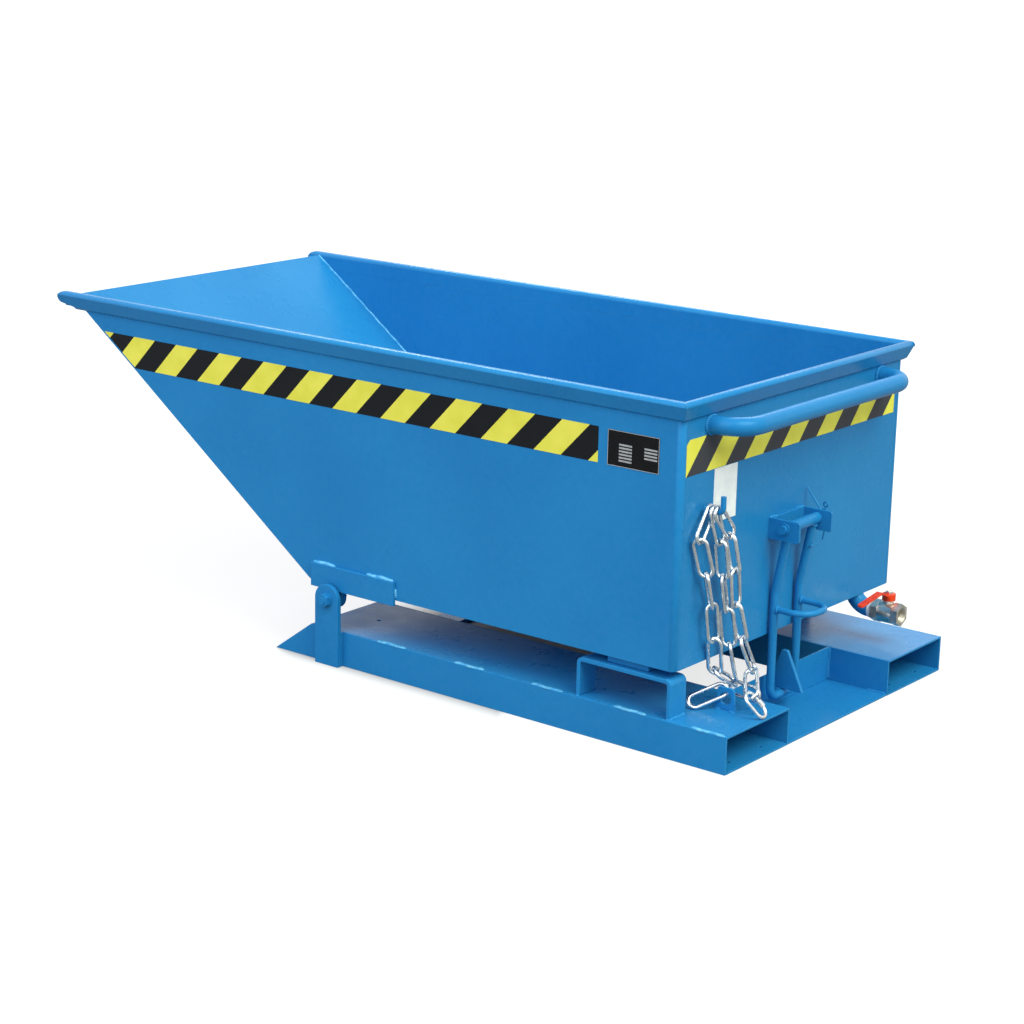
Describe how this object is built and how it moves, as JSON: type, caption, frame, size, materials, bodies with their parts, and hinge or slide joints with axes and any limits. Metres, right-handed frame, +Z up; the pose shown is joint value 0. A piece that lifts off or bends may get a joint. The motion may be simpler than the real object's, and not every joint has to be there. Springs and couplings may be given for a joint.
{
  "type": "tipping hopper",
  "caption": "Low steel tipping hopper with a sloping front, rolled rim, push handle, tilt latch, safety chain and drain valve, pivoted on a base with fork pockets",
  "frame": {"origin": "on the ground under the middle of the overall length and width", "axes": "+X to the rear with the handle and the fork mouths, -X to the nose, +Y to the drain side, +Z up"},
  "size_m": [1.69, 0.829, 0.647],
  "materials": {
    "blue_paint": "semi-gloss paint on sheet steel",
    "zinc_steel": "bright zinc plated",
    "nickel_brass": "nickel plated",
    "red_coating": "dipped plastic coating",
    "white_polymer": "plain",
    "striped_film": "yellow and black striped film",
    "black_plate": "bare black plate",
    "white_paper": "bare white film",
    "bearing_brass": "plain"
  },
  "bodies": {
    "base": {"pocket_outer_side_near": "blue_paint", "pocket_outer_side_far": "blue_paint", "pocket_inner_side_near": "blue_paint", "pocket_inner_side_far": "blue_paint", "pocket_top_near": "blue_paint", "pocket_top_far": "blue_paint", "pocket_floor_near": "blue_paint", "pocket_floor_far": "blue_paint", "rear_floor_plate": "blue_paint", "cross_wall": "blue_paint", "front_cross_bar": "blue_paint", "saddle_near": "blue_paint", "saddle_far": "blue_paint", "catch_tooth": "blue_paint", "chain_lug": "blue_paint", "lug_link": "zinc_steel", "upright_near": "blue_paint", "upright_far": "blue_paint", "upright_spacers": "blue_paint", "pivot_bushes": "bearing_brass", "pivot_washers": "blue_paint", "pivot_nuts": "blue_paint", "pivot_bolts": "blue_paint"},
    "hopper": {"floor_rest_bars": "blue_paint", "floor_front_sheet": "blue_paint", "side_wall_near": "blue_paint", "side_wall_far": "blue_paint", "rear_wall": "blue_paint", "rim_near": "blue_paint", "rim_far": "blue_paint", "rim_rear": "blue_paint", "rim_front": "blue_paint", "reinforcing_plate_near": "blue_paint", "reinforcing_plate_far": "blue_paint", "pivot_lugs": "blue_paint", "push_handle": "blue_paint", "latch_bracket": "blue_paint", "latch_washers": "blue_paint", "latch_pin": "blue_paint", "latch_split_pin": "blue_paint", "latch_spring": "blue_paint", "chain_hook": "blue_paint", "drain_elbow": "blue_paint", "thread_tape": "white_polymer", "valve_body": "nickel_brass", "valve_seats": "white_polymer", "hazard_tape_near": "striped_film", "hazard_tape_far": "striped_film", "hazard_tape_rear": "striped_film", "label_plate": "black_plate", "paper_label": "white_paper"},
    "latch_lever": {"lever_tube": "blue_paint", "lever_rod": "blue_paint", "lever_loop": "blue_paint"},
    "chain": {"chain_links": "zinc_steel", "quick_link": "zinc_steel"},
    "valve_lever": {"valve_ball": "nickel_brass", "valve_stem": "nickel_brass", "valve_handle": "red_coating", "valve_handle_nut": "zinc_steel"}
  },
  "joints": [
    {"name": "hopper_tilt", "type": "hinge", "parent": "base", "child": "hopper", "pos_m": [-0.077, 0, 0.134], "axis": [0, -1, 0], "range_deg": [0, 70]},
    {"name": "latch_lever_turn", "type": "hinge", "parent": "hopper", "child": "latch_lever", "pos_m": [0.759, -0.027, 0.368], "axis": [0, -1, 0], "range_deg": [0, 30], "stiffness_Nm_per_rad": 1.5, "springref_deg": -28.65, "deforming": ["latch_spring"]},
    {"name": "chain_swing", "type": "hinge", "parent": "hopper", "child": "chain", "pos_m": [0.745, -0.3, 0.441], "axis": [1, 0, 0], "range_deg": [0, 10]},
    {"name": "valve_lever_turn", "type": "hinge", "parent": "hopper", "child": "valve_lever", "pos_m": [0.783, 0.275, 0.132], "axis": [0, 0, 1], "range_deg": [0, 90]}
  ]
}
